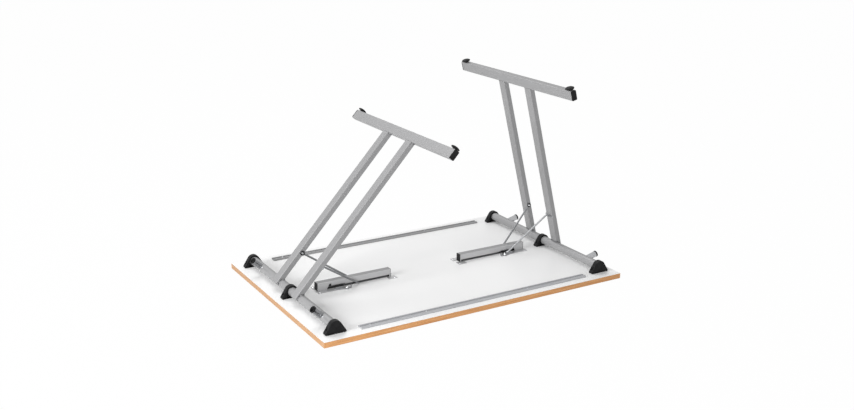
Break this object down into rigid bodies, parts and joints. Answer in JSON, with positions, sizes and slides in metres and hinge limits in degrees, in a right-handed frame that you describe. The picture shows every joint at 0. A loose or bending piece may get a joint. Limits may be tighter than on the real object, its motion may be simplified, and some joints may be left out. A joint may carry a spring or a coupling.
{
  "type": "folding training table",
  "caption": "Rectangular training table lying face down, with two leg frames that fold onto its underside and sliding struts that brace them.",
  "frame": {"origin": "centre of the table top's outer face, which lies on the floor", "axes": "+X along the long side, +Y along the short side, +Z away from the outer face, through the underside"},
  "size_m": [1.2, 0.8, 0.7207],
  "materials": {
    "laminate": "white melamine on board, satin",
    "edge_band": "beech edge band, satin",
    "silver_paint": "silver-grey satin powder coat",
    "zinc": "bright zinc plate",
    "dark_steel": "dark oiled steel",
    "black_plastic": "black moulded, fine grain"
  },
  "bodies": {
    "top": {"top_board": "laminate", "long_edge_bands": "edge_band", "short_edge_bands": "edge_band", "near_rail": "silver_paint", "far_rail": "silver_paint", "rail_screws": "zinc", "left_near_bearing": "black_plastic", "left_middle_bearing": "black_plastic", "left_far_bearing": "black_plastic", "right_near_bearing": "black_plastic", "right_middle_bearing": "black_plastic", "right_far_bearing": "black_plastic", "bearing_screws": "black_plastic", "left_housing": "silver_paint", "right_housing": "silver_paint", "housing_end_caps": "black_plastic", "housing_screws": "zinc", "latch_screws": "zinc"},
    "left_frame": {"left_cross_tube": "silver_paint", "left_near_leg": "silver_paint", "left_far_leg": "silver_paint", "left_foot_bar": "silver_paint", "left_foot_caps": "black_plastic", "left_link_sockets": "zinc", "left_socket_screws": "zinc", "left_glide_nuts": "zinc"},
    "left_slider": {"left_slider": "dark_steel"},
    "left_struts": {"left_near_strut": "zinc", "left_far_strut": "zinc", "left_strut_bolts": "zinc", "left_strut_washers": "black_plastic"},
    "left_latch": {"left_latch_hook": "zinc"},
    "left_near_glide": {"left_near_glide": "black_plastic"},
    "left_far_glide": {"left_far_glide": "black_plastic"},
    "right_frame": {"right_cross_tube": "silver_paint", "right_near_leg": "silver_paint", "right_far_leg": "silver_paint", "right_foot_bar": "silver_paint", "right_foot_caps": "black_plastic", "right_link_sockets": "zinc", "right_socket_screws": "zinc", "right_glide_nuts": "zinc"},
    "right_slider": {"right_slider": "dark_steel"},
    "right_struts": {"right_near_strut": "zinc", "right_far_strut": "zinc", "right_strut_bolts": "zinc", "right_strut_washers": "black_plastic"},
    "right_latch": {"right_latch_hook": "zinc"},
    "right_near_glide": {"right_near_glide": "black_plastic"},
    "right_far_glide": {"right_far_glide": "black_plastic"}
  },
  "joints": [
    {"name": "left_fold", "type": "hinge", "parent": "top", "child": "left_frame", "pos_m": [-0.538, -0.015, 0.0425], "axis": [0, 1, 0], "range_deg": [-42.5, 47.5]},
    {"name": "left_slide", "type": "slide", "parent": "top", "child": "left_slider", "axis": [1, 0, 0], "range_m": [-0.1093, 0.1222]},
    {"name": "left_strut_turn", "type": "hinge", "parent": "left_slider", "child": "left_struts", "pos_m": [-0.28448, 0, 0.0245], "axis": [0, 1, 0], "range_deg": [-19.9, 17.8]},
    {"name": "left_latch_turn", "type": "hinge", "parent": "top", "child": "left_latch", "pos_m": [-0.338, -0.036, 0.0217], "axis": [0, 0, 1], "range_deg": [0, 12]},
    {"name": "left_near_glide_thread", "type": "slide", "parent": "left_frame", "child": "left_near_glide", "axis": [0.6756, 0, 0.7373], "range_m": [0, 0.008]},
    {"name": "left_far_glide_thread", "type": "slide", "parent": "left_frame", "child": "left_far_glide", "axis": [0.6756, 0, 0.7373], "range_m": [0, 0.008]},
    {"name": "right_fold", "type": "hinge", "parent": "top", "child": "right_frame", "pos_m": [0.538, -0.015, 0.0425], "axis": [0, -1, 0], "range_deg": [-14.4, 71.6]},
    {"name": "right_slide", "type": "slide", "parent": "top", "child": "right_slider", "axis": [-1, 0, 0], "range_m": [-0.038, 0.1877]},
    {"name": "right_strut_turn", "type": "hinge", "parent": "right_slider", "child": "right_struts", "pos_m": [0.35993, 0, 0.0245], "axis": [0, -1, 0], "range_deg": [-29.2, 6]},
    {"name": "right_latch_turn", "type": "hinge", "parent": "top", "child": "right_latch", "pos_m": [0.338, -0.036, 0.0217], "axis": [0, 0, -1], "range_deg": [0, 12]},
    {"name": "right_near_glide_thread", "type": "slide", "parent": "right_frame", "child": "right_near_glide", "axis": [-0.2487, 0, 0.9686], "range_m": [0, 0.008]},
    {"name": "right_far_glide_thread", "type": "slide", "parent": "right_frame", "child": "right_far_glide", "axis": [-0.2487, 0, 0.9686], "range_m": [0, 0.008]}
  ],
  "couplings": [
    {"joint": "left_slide", "follows": "left_fold", "m_per_rad": 0.147},
    {"joint": "left_strut_turn", "follows": "left_fold", "ratio": -0.415},
    {"joint": "right_slide", "follows": "right_fold", "m_per_rad": 0.15},
    {"joint": "right_strut_turn", "follows": "right_fold", "ratio": -0.405}
  ]
}
